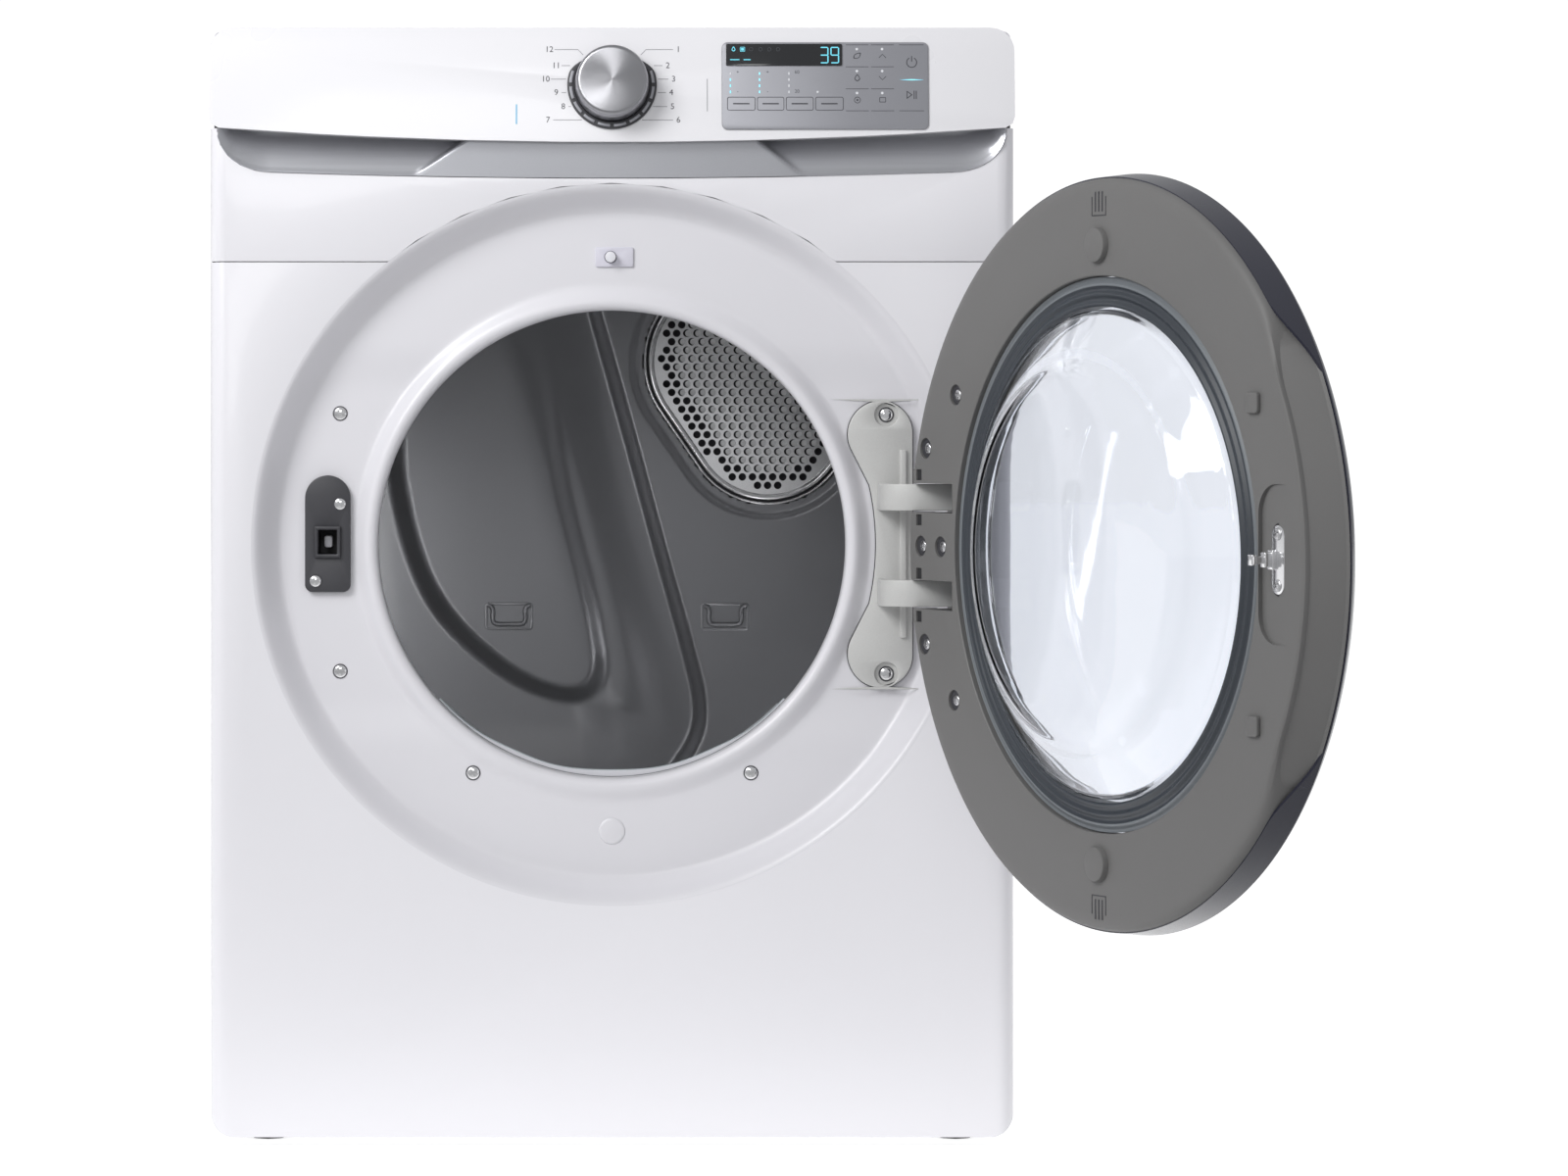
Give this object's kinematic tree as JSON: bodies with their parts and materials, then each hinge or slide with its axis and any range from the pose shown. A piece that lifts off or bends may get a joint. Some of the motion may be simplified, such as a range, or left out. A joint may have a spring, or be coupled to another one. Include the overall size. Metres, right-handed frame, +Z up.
{
  "type": "clothes dryer",
  "caption": "Front-loading vented tumble dryer with a round side-hinged door, a leaning control panel with a rotary selector, and its drum, drive, blower and heater inside.",
  "frame": {"origin": "centre of the base pan's flat underside, 7.5 mm above the floor the feet stand on", "axes": "+Z up, -Y out of the front (the side with the door), +X to the right as seen from the front"},
  "size_m": [0.9008, 1.2982, 0.9535],
  "materials": {
    "white_enamel": "gloss white enamel on steel",
    "white_plastic": "gloss white moulding",
    "satin_silver": "horizontally brushed silver film on a moulding",
    "control_silver": "satin silver-grey touch plate",
    "display_black": "gloss black display window",
    "circuit_board": "green laminate",
    "galvanised": "plain galvanised sheet",
    "bright_steel": "bright plated steel",
    "spun_aluminium": "spun and clear-coated knob cap",
    "drum_steel": "coated drum sheet",
    "drum_grey": "grey powder coat",
    "door_grey": "fine-grained grey moulding",
    "door_navy": "dark blue-black moulding",
    "bowl_glass": "clear pressed glass",
    "window_clear": "clear outer window",
    "gasket_rubber": "dark ribbed rubber",
    "hinge_paint": "light grey painted casting",
    "switch_lilac": "pale lilac-grey moulding",
    "pale_plastic": "pale translucent grey moulding",
    "dark_plastic": "dark grey moulding",
    "black_rubber": "plain rubber",
    "seal_felt": "dense wool felt",
    "steel_plain": "machined steel",
    "lifter_plastic": "light grey moulding"
  },
  "bodies": {
    "cabinet": {"left_side_panel": "white_enamel", "right_side_panel": "white_enamel", "top_panel": "white_enamel", "front_panel": "white_enamel", "upper_front_panel": "white_enamel", "rear_panel": "galvanised", "base_pan": "galvanised", "terminal_cover": "dark_plastic", "handle_trim": "satin_silver", "control_panel": "white_plastic", "control_plate": "control_silver", "display_window": "display_black", "control_board": "circuit_board", "knob_bezel": "dark_plastic", "door_switch": "switch_lilac", "latch_receptacle": "dark_plastic", "front_bulkhead": "galvanised", "front_drum_seal": "seal_felt", "lint_duct": "galvanised", "rear_bulkhead": "drum_grey", "rear_drum_seal": "seal_felt", "inlet_grille": "bright_steel", "heater_housing": "galvanised", "heater_element": "steel_plain", "roller_shaft_front_left": "steel_plain", "roller_shaft_front_right": "steel_plain", "roller_shaft_rear_left": "steel_plain", "roller_shaft_rear_right": "steel_plain", "drum_belt": "black_rubber", "motor": "galvanised", "blower_housing": "galvanised", "exhaust_duct": "galvanised", "hinge_bracket": "hinge_paint"},
    "door": {"door_inner_frame": "door_grey", "door_outer_rim": "door_navy", "door_glass_bowl": "bowl_glass", "door_glass_gasket": "gasket_rubber", "door_outer_window": "window_clear", "door_striker": "bright_steel", "hinge_pin": "steel_plain"},
    "drum": {"drum": "drum_steel", "drum_lifter_1": "lifter_plastic", "drum_lifter_2": "lifter_plastic", "drum_lifter_3": "lifter_plastic"},
    "roller_front_left": {"drum_roller_front_left": "black_rubber"},
    "roller_front_right": {"drum_roller_front_right": "black_rubber"},
    "roller_rear_left": {"drum_roller_rear_left": "black_rubber"},
    "roller_rear_right": {"drum_roller_rear_right": "black_rubber"},
    "rotor": {"motor_shaft": "steel_plain", "blower_wheel": "lifter_plastic"},
    "idler_arm": {"idler_arm": "galvanised"},
    "idler_pulley": {"idler_pulley": "dark_plastic"},
    "selector_knob": {"selector_knob": "spun_aluminium"},
    "door_switch_button": {"door_switch_button": "pale_plastic"},
    "latch_plunger": {"latch_plunger": "pale_plastic"},
    "lint_filter": {"lint_filter": "pale_plastic"},
    "foot_front_left": {"foot_front_left": "black_rubber"},
    "foot_front_right": {"foot_front_right": "black_rubber"},
    "foot_rear_left": {"foot_rear_left": "black_rubber"},
    "foot_rear_right": {"foot_rear_right": "black_rubber"}
  },
  "joints": [
    {"name": "door_hinge", "type": "hinge", "parent": "cabinet", "child": "door", "pos_m": [0.287, -0.386, 0.505], "axis": [0, 0, 1], "range_deg": [-117.5, 42.5]},
    {"name": "drum_spin", "type": "hinge", "parent": "cabinet", "child": "drum", "pos_m": [0, 0, 0.505], "axis": [0, 1, 0], "continuous": true},
    {"name": "roller_front_left_spin", "type": "hinge", "parent": "cabinet", "child": "roller_front_left", "pos_m": [-0.21819, -0.257, 0.22573], "axis": [0, 1, 0], "continuous": true},
    {"name": "roller_front_right_spin", "type": "hinge", "parent": "cabinet", "child": "roller_front_right", "pos_m": [0.21819, -0.257, 0.22573], "axis": [0, 1, 0], "continuous": true},
    {"name": "roller_rear_left_spin", "type": "hinge", "parent": "cabinet", "child": "roller_rear_left", "pos_m": [-0.21819, 0.267, 0.22573], "axis": [0, 1, 0], "continuous": true},
    {"name": "roller_rear_right_spin", "type": "hinge", "parent": "cabinet", "child": "roller_rear_right", "pos_m": [0.21819, 0.267, 0.22573], "axis": [0, 1, 0], "continuous": true},
    {"name": "rotor_spin", "type": "hinge", "parent": "cabinet", "child": "rotor", "pos_m": [0.12, -0.16, 0.105], "axis": [0, 1, 0], "continuous": true},
    {"name": "idler_swing", "type": "hinge", "parent": "cabinet", "child": "idler_arm", "pos_m": [0.03, -0.0495, 0.03], "axis": [0, 1, 0], "range_deg": [0, 10], "stiffness_Nm_per_rad": 3, "springref_deg": -17.19},
    {"name": "idler_spin", "type": "hinge", "parent": "idler_arm", "child": "idler_pulley", "pos_m": [0, -0.0355, 0.085], "axis": [0, 1, 0], "continuous": true},
    {"name": "selector_turn", "type": "hinge", "parent": "cabinet", "child": "selector_knob", "pos_m": [0, -0.36606, 0.8965], "axis": [0, -0.9926, 0.1215], "continuous": true},
    {"name": "door_switch_press", "type": "slide", "parent": "cabinet", "child": "door_switch_button", "axis": [0, -1, 0], "range_m": [-0.004, 0], "stiffness_N_per_m": 300, "springref_m": 0.002},
    {"name": "latch_plunger_press", "type": "slide", "parent": "cabinet", "child": "latch_plunger", "axis": [0, -1, 0], "range_m": [-0.006, 0], "stiffness_N_per_m": 300, "springref_m": 0.002},
    {"name": "lint_filter_lift", "type": "slide", "parent": "cabinet", "child": "lint_filter", "axis": [0, 0, 1], "range_m": [0, 0.13]},
    {"name": "foot_front_left_level", "type": "slide", "parent": "cabinet", "child": "foot_front_left", "axis": [0, 0, -1], "range_m": [0, 0.012]},
    {"name": "foot_front_right_level", "type": "slide", "parent": "cabinet", "child": "foot_front_right", "axis": [0, 0, -1], "range_m": [0, 0.012]},
    {"name": "foot_rear_left_level", "type": "slide", "parent": "cabinet", "child": "foot_rear_left", "axis": [0, 0, -1], "range_m": [0, 0.012]},
    {"name": "foot_rear_right_level", "type": "slide", "parent": "cabinet", "child": "foot_rear_right", "axis": [0, 0, -1], "range_m": [0, 0.012]}
  ],
  "couplings": [
    {"joint": "roller_front_left_spin", "follows": "drum_spin", "ratio": -8.8333},
    {"joint": "roller_front_right_spin", "follows": "drum_spin", "ratio": -8.8333},
    {"joint": "roller_rear_left_spin", "follows": "drum_spin", "ratio": -8.8333},
    {"joint": "roller_rear_right_spin", "follows": "drum_spin", "ratio": -8.8333},
    {"joint": "rotor_spin", "follows": "drum_spin", "ratio": 28.909},
    {"joint": "idler_spin", "follows": "drum_spin", "ratio": 11.357}
  ]
}
